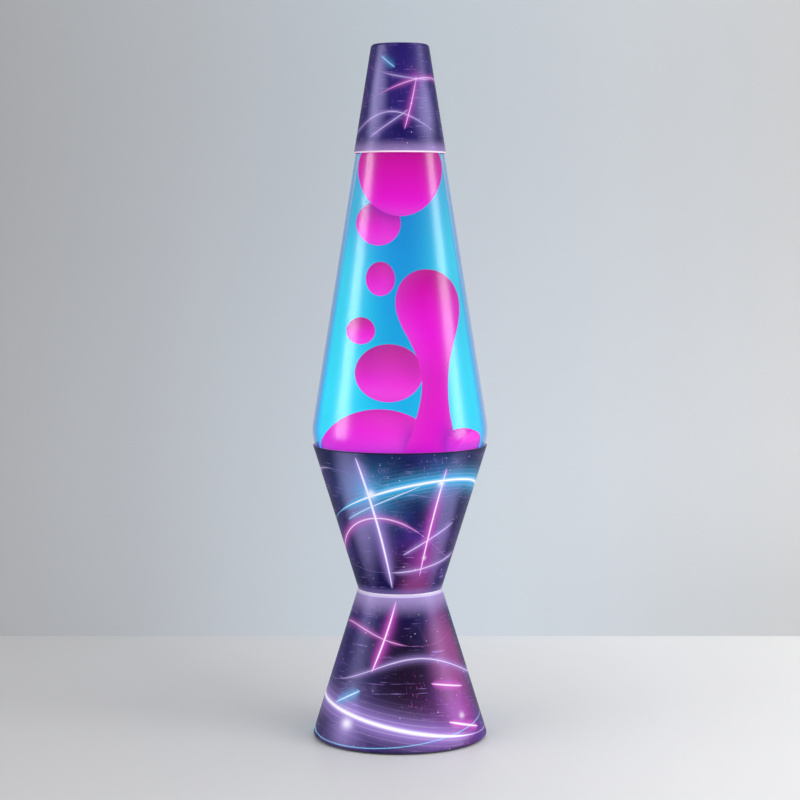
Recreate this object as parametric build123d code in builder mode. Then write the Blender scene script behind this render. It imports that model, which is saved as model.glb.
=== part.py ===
from build123d import *

import os
from math import cos, radians, sin, sqrt

os.makedirs("parts", exist_ok=True)

# A lava lamp. A glass bottle of liquid and wax stands in an hourglass base over a small bulb,
# under a tapered cap. Millimetres, +Z up, origin on the table at the middle of the base.

# Clearances
taper_gap = 0.3  # between tapers that seat in one another and come apart again
fit_gap = 0.1  # between pieces that stay together
film = 0.08  # between the glass and what fills it

# Base: two spun cones clamped mouth to mouth, with a thin ring between them
foot_proud = 0.8  # the rubber feet hold the metal this far off the table
base_sheet = 0.8
cone_foot_r = 47.1
cone_waist_r = 22.7
cone_h = 78.6
cone_edge_round = 1.4
cone_hem = 2.6  # the lower edge is turned in by this much
ring_inset = 0.4  # ring and cup stand in from the cone by this much
ring_h = 0.8
cup_waist_inset = 0.3
cup_rim_inset = 0.65  # the cup's rim is this much smaller than the cone's foot
cup_h = 77.3
waist_round = 0.6
waist_mouth_r = 15.0  # the bulb stands up through this opening

# Bottle: sits in the cup on its own lower taper
bottle_depth = 29.45  # its foot is this far under the cup's rim
bottle_lower_h = 35.7
bottle_upper_h = 170.3
shoulder_r = 19.8
bottle_heel_round = 5.0
bottle_belly_round = 24.0
bottle_shoulder_round = 5.0
glass_wall = 2.0
glass_floor = 3.0
neck_r = 12.2
neck_rise = 5.0  # shoulder to neck
neck_h = 5.0
neck_round = 3.0
finish_r = 13.3  # the bead that the crown grips
finish_h = 5.4
finish_bevel = 1.0
bore_r = 8.0

# Crown closure
crown_h = 6.0
crown_top_r = 14.0
crown_skirt_r = 16.05
crown_round = 1.6
crown_sheet = 0.4
flute_count = 21
flute_depth = 1.7
liner_t = 0.6
liner_r = 12.8

# Cap: a closed taper that drops over the neck and seats on the glass
cap_overlap = 22.5  # its lip is this far under the bottle's shoulder
cap_headroom = 18.1  # its top is this far over the crown
cap_sheet = 0.6
cap_round = 2.0

# Liquid and wax
fill_drop = 4.5  # liquid level below the shoulder
pool_under_rim = 2.8
coil_r = 3.2
coil_inset = 9.15  # middle of the coil from the edge of the bottle's foot

# The wax scales with the bottle. Heights are shares of the liquid's height over the cup's rim.
# The column's widths are shares of the bottle's inner radius at the belly.
column_x = 0.388
column_y = -0.12
column_lean = -0.07  # sideways travel for each millimetre of rise
column_h = 0.539
column_head_r = 0.369
column_head_drop = 0.112
column_neck_r = 0.155
column_neck_h = 0.174
column_foot_r = 0.354
column_sink = 0.023
wax_turn = 142.0  # the drops' seams face this way, across the lines where the mounds meet
# Each drop: x, y and radius in shares of the inner radius at its widest level, that level, rise, fall
crown_drop = (0, 0, 0.975, 0.846, 0.128, 0.141)
tucked_drop = (-0.43, 0.345, 0.432, 0.659, 0.063, 0.066)
slim_drop = (-0.325, 0.125, 0.244, 0.511, 0.053, 0.053)
side_drop = (-0.571, -0.055, 0.209, 0.352, 0.042, 0.042)
broad_drop = (-0.149, 0.27, 0.455, 0.2155, 0.0905, 0.0905)
float_places = (crown_drop, tucked_drop, slim_drop, side_drop, broad_drop)
left_mound = (-0.234, 0, 0.669, -0.032, 0.139, 0.047)
right_mound = (0.72, -0.19, 0.333, -0.0145, 0.063, 0.035)
mound_places = (left_mound, right_mound)

# Bulb: a small straight-sided globe on an intermediate screw cap
bulb_r = 17.45
bulb_length = 57.0
bulb_side_angle = 30.0  # straight side, from the upright
bulb_glass_t = 0.7
bulb_neck_r = 7.9
bulb_neck_round = 4.0
bulb_cap_r = 8.3
bulb_cap_h = 15.5
bulb_cap_sheet = 0.3
bulb_cap_bevel = 1.0
insulator_r = 6.4
insulator_low_r = 3.2
insulator_h = 1.4
contact_r = 2.6
contact_h = 1.0
stem_r = 2.4
stem_flare_r = 6.4
stem_h = 19.0
lead_r = 0.3
lead_spread = 5.0
lead_h = 10.0
filament_r = 0.35
filament_rise = 3.0

# Lamp holder
holder_r = 12.4
holder_drop = 35.4  # its underside, on the bracket, below the top of the lower cone
holder_floor = 7.0
holder_h = 27.0
holder_round = 1.0
shell_sheet = 0.35
shell_h = 15.0
spring_t = 0.4
spring_w = 5.0
spring_reach = 6.0
spring_rise = 1.7  # top of the spring above the holder's floor
tip_gap = 0.3  # spring to bulb
terminal_flat = 10.0
terminal_r = 2.8
terminal_h = 1.6
terminal_shank_r = 1.3
terminal_shank = 3.2
terminal_rise = 3.6

# Strap bracket, nipple and nuts
strap_t = 1.2
strap_w = 12.0
strap_bend = 1.2
strap_side_gap = 1.0
screw_pitch_r = 18.2
screw_r = 1.45
screw_hole_r = 1.6
screw_head_r = 2.7
screw_head_h = 1.8
screw_tail = 0.8
small_nut_flats = 5.5
small_nut_h = 2.4
nipple_r = 4.9
nipple_bore_r = 3.4
nipple_grip = 5.0  # into the holder
nipple_tail = 0.5
lock_nut_flats = 14.0
lock_nut_h = 2.6
washer_r = 9.0
washer_t = 0.9

# Bottom plate and feet
plate_rise = 6.32  # its upper face over the cone's lower edge
plate_t = 1.2
vent_count = 12
vent_w = 3.4
vent_length = 14.0
vent_pitch_r = 23.0
foot_count = 4
foot_r = 5.0
foot_inset = 7.2  # middle of a foot from the edge of the plate
foot_stem_r = 1.9
foot_head_r = 2.9
foot_head_h = 1.4

# Cord inlet, through the back of the cone
inlet_z = 15.0
inlet_hole_r = 4.1
inlet_bore_r = 2.9
inlet_flange_r = 5.8
inlet_flange_t = 1.5
inlet_round = 0.6
inlet_slack = 0.4  # the flat flanges clear the curved sheet by this much


def level(sheet, taper):
    """How thick a tapered sheet is along the level."""
    return sheet * sqrt(1 + taper**2)


# Heights, radii and tapers that follow from the sizes
cone_z = foot_proud
cone_top_z = cone_z + cone_h
cup_z = cone_top_z + ring_h
cup_rim_z = cup_z + cup_h
ring_r = cone_waist_r - ring_inset
cup_waist_r = cone_waist_r - cup_waist_inset
cup_rim_r = cone_foot_r - cup_rim_inset
cone_taper = (cone_foot_r - cone_waist_r) / cone_h
cup_taper = (cup_rim_r - cup_waist_r) / cup_h
cone_run = level(base_sheet, cone_taper)
cup_run = level(base_sheet, cup_taper)
holder_z = cone_top_z - holder_drop

bottle_z = cup_rim_z - bottle_depth
bottle_foot_r = cup_rim_r - cup_taper * bottle_depth - cup_run - taper_gap
belly_z = bottle_z + bottle_lower_h
belly_r = bottle_foot_r + cup_taper * bottle_lower_h
shoulder_z = belly_z + bottle_upper_h
bottle_upper_taper = (belly_r - shoulder_r) / bottle_upper_h
neck_z = shoulder_z + neck_rise
finish_z = neck_z + neck_h
finish_top_z = finish_z + finish_h
crown_top_z = finish_top_z + liner_t + crown_sheet

cap_run = level(cap_sheet, bottle_upper_taper)
cap_z = shoulder_z - cap_overlap
cap_top_z = crown_top_z + cap_headroom
cap_lip_r = shoulder_r + bottle_upper_taper * cap_overlap + taper_gap + cap_run
cap_top_r = cap_lip_r - bottle_upper_taper * (cap_top_z - cap_z)

fill_z = shoulder_z - fill_drop
fill_h = fill_z - cup_rim_z
glass_run = level(glass_wall, cup_taper)
belly_in_r = belly_r - glass_run


def cone_inside(z):
    """Inner radius of the lower cone at height z."""
    return cone_foot_r - cone_taper * (z - cone_z) - cone_run


# ---------------------------------------------------------------- base shells

# The sheet is pierced square to its slope, so the inlet's axis leans back with the cone's normal
inlet_out = Vector(0, 1, cone_taper).normalized()
inlet_point = Vector(0, cone_inside(inlet_z) + cone_run, inlet_z)
inlet_face = Plane(origin=inlet_point, x_dir=(1, 0, 0), z_dir=inlet_out)
inlet_section = Plane(origin=inlet_point, x_dir=(1, 0, 0), z_dir=Vector(1, 0, 0).cross(inlet_out))

with BuildPart() as base_cone:
    with BuildSketch(Plane.XZ):
        with BuildLine():
            FilletPolyline(
                (waist_mouth_r, cone_top_z),
                (cone_waist_r, cone_top_z),
                (cone_foot_r, cone_z),
                (cone_foot_r - cone_hem, cone_z),
                (cone_foot_r - cone_hem, cone_z + base_sheet),
                (cone_inside(cone_z + base_sheet), cone_z + base_sheet),
                (cone_inside(cone_top_z - base_sheet), cone_top_z - base_sheet),
                (waist_mouth_r, cone_top_z - base_sheet),
                radius=[0, waist_round, cone_edge_round, 0, 0, cone_edge_round - base_sheet, 0, 0],
                close=True,
            )
        make_face()
    revolve(axis=Axis.Z)
    with BuildSketch(Plane.XY.offset(cone_top_z)):
        with PolarLocations(screw_pitch_r, 2):
            Circle(screw_hole_r)
    extrude(amount=-base_sheet, mode=Mode.SUBTRACT)
    with BuildSketch(inlet_face):
        Circle(inlet_hole_r)
    extrude(amount=3 * base_sheet, both=True, mode=Mode.SUBTRACT)
base_cone.part.label = "base_cone"
export_step(base_cone.part, "parts/base_cone.step")

with BuildPart() as waist_ring:
    with BuildSketch(Plane.XY.offset(cone_top_z)):
        Circle(ring_r)
        Circle(waist_mouth_r, mode=Mode.SUBTRACT)
        with PolarLocations(screw_pitch_r, 2):
            Circle(screw_hole_r, mode=Mode.SUBTRACT)
    extrude(amount=ring_h)
waist_ring.part.label = "waist_ring"
export_step(waist_ring.part, "parts/waist_ring.step")

with BuildPart() as base_cup:
    with BuildSketch(Plane.XZ):
        with BuildLine():
            FilletPolyline(
                (waist_mouth_r, cup_z),
                (cup_waist_r, cup_z),
                (cup_rim_r, cup_rim_z),
                (cup_rim_r - cup_run, cup_rim_z),
                (cup_waist_r + cup_taper * base_sheet - cup_run, cup_z + base_sheet),
                (waist_mouth_r, cup_z + base_sheet),
                radius=[0, waist_round, base_sheet / 3, base_sheet / 3, 0, 0],
                close=True,
            )
        make_face()
    revolve(axis=Axis.Z)
    with BuildSketch(Plane.XY.offset(cup_z)):
        with PolarLocations(screw_pitch_r, 2):
            Circle(screw_hole_r)
    extrude(amount=base_sheet, mode=Mode.SUBTRACT)
base_cup.part.label = "base_cup"
export_step(base_cup.part, "parts/base_cup.step")

# ---------------------------------------------------------------- bracket, nipple, nuts and screws

strap_z = holder_z - strap_t
ear_top_z = cone_top_z - base_sheet
leg_x = holder_r + strap_side_gap
ear_x = screw_pitch_r + screw_head_r

# One strip, bent up beside the holder and out under the waist
with BuildPart() as socket_bracket:
    with BuildSketch(Plane.XZ):
        with BuildLine():
            FilletPolyline(
                (-ear_x, ear_top_z - strap_t / 2),
                (-leg_x - strap_t / 2, ear_top_z - strap_t / 2),
                (-leg_x - strap_t / 2, strap_z + strap_t / 2),
                (leg_x + strap_t / 2, strap_z + strap_t / 2),
                (leg_x + strap_t / 2, ear_top_z - strap_t / 2),
                (ear_x, ear_top_z - strap_t / 2),
                radius=strap_bend,
            )
        trace(line_width=strap_t)
    extrude(amount=strap_w / 2, both=True)
    with BuildSketch(Plane.XY.offset(ear_top_z)):
        with PolarLocations(screw_pitch_r, 2):
            Circle(screw_hole_r)
    extrude(amount=-strap_t, mode=Mode.SUBTRACT)
    with BuildSketch(Plane.XY.offset(strap_z)):
        Circle(nipple_r + fit_gap)
    extrude(amount=strap_t, mode=Mode.SUBTRACT)
socket_bracket.part.label = "socket_bracket"
export_step(socket_bracket.part, "parts/socket_bracket.step")

web_top_z = cup_z + base_sheet
ear_low_z = ear_top_z - strap_t

with BuildPart() as waist_screws:
    with BuildSketch(Plane.XY.offset(web_top_z)):
        with PolarLocations(screw_pitch_r, 2):
            Circle(screw_head_r)
    extrude(amount=screw_head_h, taper=12)
    with BuildSketch(Plane.XY.offset(ear_low_z - small_nut_h - screw_tail)):
        with PolarLocations(screw_pitch_r, 2):
            Circle(screw_r)
    extrude(amount=web_top_z - ear_low_z + small_nut_h + screw_tail)
waist_screws.part.label = "waist_screws"
export_step(waist_screws.part, "parts/waist_screws.step")

with BuildPart() as waist_nuts:
    with BuildSketch(Plane.XY.offset(ear_low_z)):
        with PolarLocations(screw_pitch_r, 2):
            RegularPolygon(small_nut_flats / 2, 6, major_radius=False, rotation=30)
            Circle(screw_r + fit_gap, mode=Mode.SUBTRACT)
    extrude(amount=-small_nut_h)
waist_nuts.part.label = "waist_nuts"
export_step(waist_nuts.part, "parts/waist_nuts.step")

# The plate is drawn up on the nipple until its edge wedges in the cone
plate_top_z = cone_z + plate_rise
plate_r = cone_inside(plate_top_z) - fit_gap
plate_low_z = plate_top_z - plate_t
nipple_low_z = plate_low_z - washer_t - lock_nut_h - nipple_tail

with BuildPart() as nipple:
    with BuildSketch(Plane.XY.offset(nipple_low_z)):
        Circle(nipple_r)
        Circle(nipple_bore_r, mode=Mode.SUBTRACT)
    extrude(amount=holder_z + nipple_grip - nipple_low_z)
nipple.part.label = "nipple"
export_step(nipple.part, "parts/nipple.step")

with BuildPart() as lock_nuts:
    for nut_top_z in (strap_z, plate_low_z - washer_t):
        with BuildSketch(Plane.XY.offset(nut_top_z)):
            RegularPolygon(lock_nut_flats / 2, 6, major_radius=False)
            Circle(nipple_r + fit_gap, mode=Mode.SUBTRACT)
        extrude(amount=-lock_nut_h)
lock_nuts.part.label = "lock_nuts"
export_step(lock_nuts.part, "parts/lock_nuts.step")

with BuildPart() as plate_washer:
    with BuildSketch(Plane.XY.offset(plate_low_z)):
        Circle(washer_r)
        Circle(nipple_r + fit_gap, mode=Mode.SUBTRACT)
    extrude(amount=-washer_t)
plate_washer.part.label = "plate_washer"
export_step(plate_washer.part, "parts/plate_washer.step")

# ---------------------------------------------------------------- bottom plate, feet, cord inlet

foot_start = 180 / foot_count
foot_pitch_r = plate_r - foot_inset

with BuildPart() as bottom_plate:
    with BuildSketch(Plane.XY.offset(plate_low_z)):
        Circle(plate_r)
        Circle(nipple_r + fit_gap, mode=Mode.SUBTRACT)
        with PolarLocations(vent_pitch_r, vent_count):
            SlotOverall(vent_length, vent_w, mode=Mode.SUBTRACT)
        with PolarLocations(foot_pitch_r, foot_count, start_angle=foot_start):
            Circle(foot_stem_r + fit_gap, mode=Mode.SUBTRACT)
    extrude(amount=plate_t)
bottom_plate.part.label = "bottom_plate"
export_step(bottom_plate.part, "parts/bottom_plate.step")

with BuildPart() as rubber_feet:
    with BuildSketch(Plane.XY):
        with PolarLocations(foot_pitch_r, foot_count, start_angle=foot_start):
            Circle(foot_r)
    extrude(amount=plate_low_z)
    with BuildSketch(Plane.XY.offset(plate_low_z)):
        with PolarLocations(foot_pitch_r, foot_count, start_angle=foot_start):
            Circle(foot_stem_r)
    extrude(amount=plate_t)
    with BuildSketch(Plane.XY.offset(plate_top_z)):
        with PolarLocations(foot_pitch_r, foot_count, start_angle=foot_start):
            Circle(foot_head_r)
    extrude(amount=foot_head_h, taper=20)
rubber_feet.part.label = "rubber_feet"
export_step(rubber_feet.part, "parts/rubber_feet.step")

groove_low = -base_sheet - inlet_slack

with BuildPart() as cord_grommet:
    with BuildSketch(inlet_section):
        with BuildLine():
            FilletPolyline(
                (inlet_bore_r, inlet_flange_t + fit_gap),
                (inlet_flange_r, inlet_flange_t + fit_gap),
                (inlet_flange_r, fit_gap),
                (inlet_hole_r - fit_gap, fit_gap),
                (inlet_hole_r - fit_gap, groove_low),
                (inlet_flange_r, groove_low),
                (inlet_flange_r, groove_low - inlet_flange_t),
                (inlet_bore_r, groove_low - inlet_flange_t),
                radius=[0, inlet_round, 0, 0, 0, 0, 0, 0],
                close=True,
            )
        make_face()
    revolve(axis=Axis(inlet_point, inlet_out))
cord_grommet.part.label = "cord_grommet"
export_step(cord_grommet.part, "parts/cord_grommet.step")

# ---------------------------------------------------------------- lamp holder

holder_floor_z = holder_z + holder_floor
holder_top_z = holder_z + holder_h
shell_in_r = bulb_cap_r + taper_gap
shell_out_r = shell_in_r + shell_sheet

with BuildPart() as socket_body:
    with BuildSketch(Plane.XZ):
        with BuildLine():
            FilletPolyline(
                (nipple_r + fit_gap, holder_z),
                (holder_r, holder_z),
                (holder_r, holder_top_z),
                (shell_out_r + fit_gap, holder_top_z),
                (shell_out_r + fit_gap, holder_floor_z),
                (0, holder_floor_z),
                (0, holder_z + nipple_grip + fit_gap),
                (nipple_r + fit_gap, holder_z + nipple_grip + fit_gap),
                radius=[0, holder_round, holder_round, 0, 0, 0, 0, 0],
                close=True,
            )
        make_face()
    revolve(axis=Axis.Z)
    with BuildSketch(Plane.XY.offset(holder_z)):
        with PolarLocations(terminal_flat + holder_r, 2, start_angle=90):
            Rectangle(2 * holder_r, 2 * holder_r)
    extrude(amount=holder_floor, mode=Mode.SUBTRACT)
    for side in (Plane.XZ, Plane.XZ.rotated((0, 0, 180))):
        with BuildSketch(side.offset(terminal_flat)):
            with Locations((0, holder_z + terminal_rise)):
                Circle(terminal_shank_r + fit_gap)
        extrude(amount=-terminal_shank - fit_gap, mode=Mode.SUBTRACT)
socket_body.part.label = "socket_body"
export_step(socket_body.part, "parts/socket_body.step")

with BuildPart() as terminal_screws:
    for side in (Plane.XZ, Plane.XZ.rotated((0, 0, 180))):
        with BuildSketch(side.offset(terminal_flat)):
            with Locations((0, holder_z + terminal_rise)):
                Circle(terminal_r)
        extrude(amount=terminal_h)
        with BuildSketch(side.offset(terminal_flat)):
            with Locations((0, holder_z + terminal_rise)):
                Circle(terminal_shank_r)
        extrude(amount=-terminal_shank)
terminal_screws.part.label = "terminal_screws"
export_step(terminal_screws.part, "parts/terminal_screws.step")

spring_top_z = holder_floor_z + spring_rise

# A strip that lies on the holder's floor and folds back up under the bulb
with BuildPart() as socket_contact:
    with BuildSketch(Plane.XZ):
        with BuildLine():
            FilletPolyline(
                (spring_reach, holder_floor_z + spring_t / 2),
                (-spring_reach, holder_floor_z + spring_t / 2),
                (-spring_reach, holder_floor_z + 2.6 * spring_t),
                (0, spring_top_z - spring_t / 2),
                (spring_reach / 2, spring_top_z - 2 * spring_t),
                radius=[spring_t, spring_t, 2 * spring_t],
            )
        trace(line_width=spring_t)
    extrude(amount=spring_w / 2, both=True)
socket_contact.part.label = "socket_contact"
export_step(socket_contact.part, "parts/socket_contact.step")

with BuildPart() as socket_shell:
    with BuildSketch(Plane.XY.offset(holder_top_z - holder_round - shell_h)):
        Circle(shell_out_r)
        Circle(shell_in_r, mode=Mode.SUBTRACT)
    extrude(amount=shell_h)
socket_shell.part.label = "socket_shell"
export_step(socket_shell.part, "parts/socket_shell.step")

# ---------------------------------------------------------------- bulb

bulb_tip_z = spring_top_z + tip_gap
insulator_z = bulb_tip_z + contact_h
bulb_cap_z = insulator_z + insulator_h
bulb_cap_top_z = bulb_cap_z + bulb_cap_h
bulb_centre_z = bulb_tip_z + bulb_length - bulb_r
stem_z = bulb_cap_z + bulb_cap_sheet + fit_gap


def bulb_side(inset, low_z):
    """Half section of the bulb's globe, straight side and neck, moved inwards by inset."""
    tilt = radians(bulb_side_angle)
    globe_r = bulb_r - inset
    throat_r = bulb_neck_r - inset
    meet = (globe_r * cos(tilt), bulb_centre_z - globe_r * sin(tilt))
    throat_z = meet[1] - (meet[0] - throat_r) / sin(tilt) * cos(tilt)
    with BuildSketch(Plane.XZ) as half:
        with BuildLine():
            Line((0, low_z), (throat_r, low_z))
            FilletPolyline((throat_r, low_z), (throat_r, throat_z), meet, radius=bulb_neck_round)
            CenterArc((0, bulb_centre_z), globe_r, -bulb_side_angle, 90 + bulb_side_angle)
            Line((0, bulb_centre_z + globe_r), (0, low_z))
        make_face()
    return half.sketch


with BuildPart() as bulb_glass:
    revolve(bulb_side(0, stem_z + 2 * bulb_glass_t), axis=Axis.Z)
    revolve(bulb_side(bulb_glass_t, stem_z), axis=Axis.Z, mode=Mode.SUBTRACT)
bulb_glass.part.label = "bulb_glass"
export_step(bulb_glass.part, "parts/bulb_glass.step")

with BuildPart() as bulb_cap:
    with BuildSketch(Plane.XZ):
        with BuildLine():
            Polyline(
                (insulator_r, bulb_cap_z),
                (bulb_cap_r - bulb_cap_bevel, bulb_cap_z),
                (bulb_cap_r, bulb_cap_z + bulb_cap_bevel),
                (bulb_cap_r, bulb_cap_top_z),
                (bulb_cap_r - bulb_cap_sheet, bulb_cap_top_z),
                (bulb_cap_r - bulb_cap_sheet, bulb_cap_z + bulb_cap_bevel + bulb_cap_sheet / 2),
                (bulb_cap_r - bulb_cap_bevel - bulb_cap_sheet / 2, bulb_cap_z + bulb_cap_sheet),
                (insulator_r, bulb_cap_z + bulb_cap_sheet),
                close=True,
            )
        make_face()
    revolve(axis=Axis.Z)
bulb_cap.part.label = "bulb_cap"
export_step(bulb_cap.part, "parts/bulb_cap.step")

with BuildPart() as bulb_insulator:
    with BuildSketch(Plane.XZ):
        with BuildLine():
            Polyline(
                (0, insulator_z),
                (insulator_low_r, insulator_z),
                (insulator_r - fit_gap, bulb_cap_z),
                (insulator_r - fit_gap, bulb_cap_z + bulb_cap_sheet),
                (0, bulb_cap_z + bulb_cap_sheet),
                close=True,
            )
        make_face()
    revolve(axis=Axis.Z)
bulb_insulator.part.label = "bulb_insulator"
export_step(bulb_insulator.part, "parts/bulb_insulator.step")

with BuildPart() as bulb_contact:
    with BuildSketch(Plane.XY.offset(bulb_tip_z)):
        Circle(contact_r)
    extrude(amount=contact_h)
    fillet(bulb_contact.faces().sort_by(Axis.Z)[0].edges(), contact_h / 2)
bulb_contact.part.label = "bulb_contact"
export_step(bulb_contact.part, "parts/bulb_contact.step")

stem_top_z = stem_z + stem_h

with BuildPart() as bulb_stem:
    with BuildSketch(Plane.XZ):
        with BuildLine():
            Polyline(
                (0, stem_z),
                (stem_flare_r, stem_z),
                (stem_r, stem_z + stem_flare_r),
                (stem_r, stem_top_z),
                (0, stem_top_z),
                close=True,
            )
        make_face()
    revolve(axis=Axis.Z)
bulb_stem.part.label = "bulb_stem"
export_step(bulb_stem.part, "parts/bulb_stem.step")

lead_foot = (stem_r - 2 * lead_r, stem_top_z + lead_r / 2)
lead_top = (lead_spread, stem_top_z + lead_h)

with BuildPart() as bulb_leads:
    for hand in (-1, 1):
        with BuildLine() as wire:
            Line((hand * lead_foot[0], 0, lead_foot[1]), (hand * lead_top[0], 0, lead_top[1]))
        with BuildSketch(Plane(origin=wire.line @ 0, z_dir=wire.line % 0)):
            Circle(lead_r)
        sweep(path=wire.line)
bulb_leads.part.label = "bulb_leads"
export_step(bulb_leads.part, "parts/bulb_leads.step")

with BuildPart() as bulb_filament:
    with BuildLine(Plane.XZ.offset(lead_r + filament_r)) as arch:
        ThreePointArc((-lead_top[0], lead_top[1]), (0, lead_top[1] + filament_rise), lead_top)
    with BuildSketch(Plane(origin=arch.line @ 0, z_dir=arch.line % 0)):
        Circle(filament_r)
    sweep(path=arch.line)
bulb_filament.part.label = "bulb_filament"
export_step(bulb_filament.part, "parts/bulb_filament.step")

# ---------------------------------------------------------------- bottle

def bottle_inside(clear, top_z):
    """Half section of the space in the bottle, up to top_z, clear of the glass all round."""
    inset = glass_run + clear
    low_z = bottle_z + glass_floor + clear
    foot = (bottle_foot_r + cup_taper * (glass_floor + clear) - inset, low_z)
    belly = (belly_r - inset, belly_z)
    top = (belly_r - inset - bottle_upper_taper * (top_z - belly_z), top_z)
    with BuildSketch(Plane.XZ) as half:
        with BuildLine():
            outline = FilletPolyline(
                (0, low_z),
                foot,
                belly,
                top,
                (0, top_z),
                radius=[bottle_heel_round - glass_wall, bottle_belly_round - glass_wall, 0],
            )
            Line(outline @ 1, outline @ 0)
        make_face()
    return half.sketch


with BuildPart() as bottle_glass:
    with BuildSketch(Plane.XZ):
        with BuildLine():
            side = FilletPolyline(
                (0, bottle_z),
                (bottle_foot_r, bottle_z),
                (belly_r, belly_z),
                (shoulder_r, shoulder_z),
                (neck_r, neck_z),
                (neck_r, finish_z),
                (finish_r, finish_z + finish_bevel),
                (finish_r, finish_top_z),
                (0, finish_top_z),
                radius=[
                    bottle_heel_round,
                    bottle_belly_round,
                    bottle_shoulder_round,
                    neck_round,
                    0,
                    0,
                    0,
                ],
            )
            Line(side @ 1, side @ 0)
        make_face()
    revolve(axis=Axis.Z)
    revolve(bottle_inside(0, shoulder_z - bottle_shoulder_round / 2), axis=Axis.Z, mode=Mode.SUBTRACT)
    with BuildSketch(Plane.XY.offset(belly_z)):
        Circle(bore_r)
    extrude(amount=finish_top_z - belly_z, mode=Mode.SUBTRACT)
bottle_glass.part.label = "bottle_glass"
export_step(bottle_glass.part, "parts/bottle_glass.step")

with BuildPart() as crown_liner:
    with BuildSketch(Plane.XY.offset(finish_top_z)):
        Circle(liner_r)
    extrude(amount=liner_t)
crown_liner.part.label = "crown_liner"
export_step(crown_liner.part, "parts/crown_liner.step")

crown_low_z = crown_top_z - crown_h

# The skirt flares out to its edge and is crimped into flutes round the bottle's bead
with BuildPart() as crown_cap:
    with BuildSketch(Plane.XZ):
        with BuildLine():
            FilletPolyline(
                (0, crown_top_z - crown_sheet),
                (finish_r + fit_gap, crown_top_z - crown_sheet),
                (finish_r + fit_gap, crown_low_z),
                (crown_skirt_r, crown_low_z),
                (crown_top_r + 0.3 * (crown_skirt_r - crown_top_r), crown_top_z - 0.4 * crown_h),
                (crown_top_r, crown_top_z),
                (0, crown_top_z),
                radius=[0, 0, 0, 0, crown_round, crown_round, 0],
                close=True,
            )
        make_face()
    revolve(axis=Axis.Z)
    with BuildSketch(Plane.XY.offset(crown_low_z)):
        with PolarLocations(crown_skirt_r, flute_count):
            Circle(flute_depth)
    extrude(amount=crown_h, taper=20, mode=Mode.SUBTRACT)
crown_cap.part.label = "crown_cap"
export_step(crown_cap.part, "parts/crown_cap.step")

# ---------------------------------------------------------------- wax


def quarter_round(level_z, radius, rise):
    """A quarter of an ellipse, from its widest point at level_z to the axis, rise above it."""
    pull = 4 / 3 * (sqrt(2) - 1)
    return Bezier(
        (radius, level_z),
        (radius, level_z + pull * rise),
        (pull * radius, level_z + rise),
        (0, level_z + rise),
    )


def drop(place, grow):
    """A round drop of wax, swelled by grow."""
    x, y, radius, widest, rise, fall = place
    z = cup_rim_z + fill_h * widest
    room = belly_in_r - bottle_upper_taper * (z - belly_z)
    out = Vector(cos(radians(wax_turn)), sin(radians(wax_turn)), 0)
    side = Plane(origin=(x * room, y * room, z), x_dir=out, z_dir=out.cross(Vector(0, 0, 1)))
    with BuildPart() as body:
        with BuildSketch(side):
            with BuildLine():
                quarter_round(0, radius * room + grow, -fall * fill_h - grow)
                quarter_round(0, radius * room + grow, rise * fill_h + grow)
                Line((0, rise * fill_h + grow), (0, -fall * fill_h - grow))
            make_face()
        revolve(axis=Axis((x * room, y * room, 0), (0, 0, 1)))
    return body.part


def column(grow):
    """The rising column, leaning a little, from inside the pool to its round head."""
    foot_r, neck_r, head_r = (
        belly_in_r * share + grow for share in (column_foot_r, column_neck_r, column_head_r)
    )
    low_h, neck_h, head_h, top_h = (
        fill_h * share
        for share in (-column_sink, column_neck_h, column_h - column_head_drop, column_h)
    )
    up = Vector(column_lean, 0, 1).normalized()
    foot = Vector(belly_in_r * column_x - column_lean * neck_h, belly_in_r * column_y, cup_rim_z)
    with BuildPart() as body:
        with BuildSketch(Plane(origin=foot, x_dir=up.cross(Vector(0, -1, 0)), z_dir=(0, -1, 0))):
            with BuildLine():
                Line((0, low_h), (foot_r, low_h))
                Spline(
                    (foot_r, low_h),
                    (neck_r, neck_h),
                    (head_r, head_h),
                    tangents=((-1, 1.2), (0, 1), (0, 1)),
                )
                quarter_round(head_h, head_r, top_h - head_h + grow)
                Line((0, top_h + grow), (0, low_h))
            make_face()
        revolve(axis=Axis(foot, up))
    return body.part


def drops(places, grow):
    """Several drops as one shape: where two meet they are one."""
    with BuildPart() as body:
        for place in places:
            add(drop(place, grow))
    return body.part


with BuildPart() as wax_floats:
    add(drops(float_places, 0))
wax_floats.part.label = "wax_floats"
export_step(wax_floats.part, "parts/wax_floats.step")

# The coil lies on the bottle's floor, in the wax
coil_z = bottle_z + glass_floor + film + coil_r
coil_ring_r = bottle_foot_r - coil_inset

with BuildPart() as heat_coil:
    with Locations((0, 0, coil_z)):
        Torus(coil_ring_r, coil_r)
heat_coil.part.label = "heat_coil"
export_step(heat_coil.part, "parts/heat_coil.step")

pool_z = cup_rim_z - pool_under_rim

with BuildPart() as wax_pool:
    with BuildSketch(Plane.XY.offset(bottle_z)):
        Circle(belly_r)
    extrude(amount=pool_z - bottle_z)
    add(drops(mound_places, 0))
    add(column(0))
    revolve(bottle_inside(2 * film, fill_z), axis=Axis.Z, mode=Mode.INTERSECT)
    with Locations((0, 0, coil_z)):
        Torus(coil_ring_r, coil_r + fit_gap, mode=Mode.SUBTRACT)
wax_pool.part.label = "wax_pool"
export_step(wax_pool.part, "parts/wax_pool.step")

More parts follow.
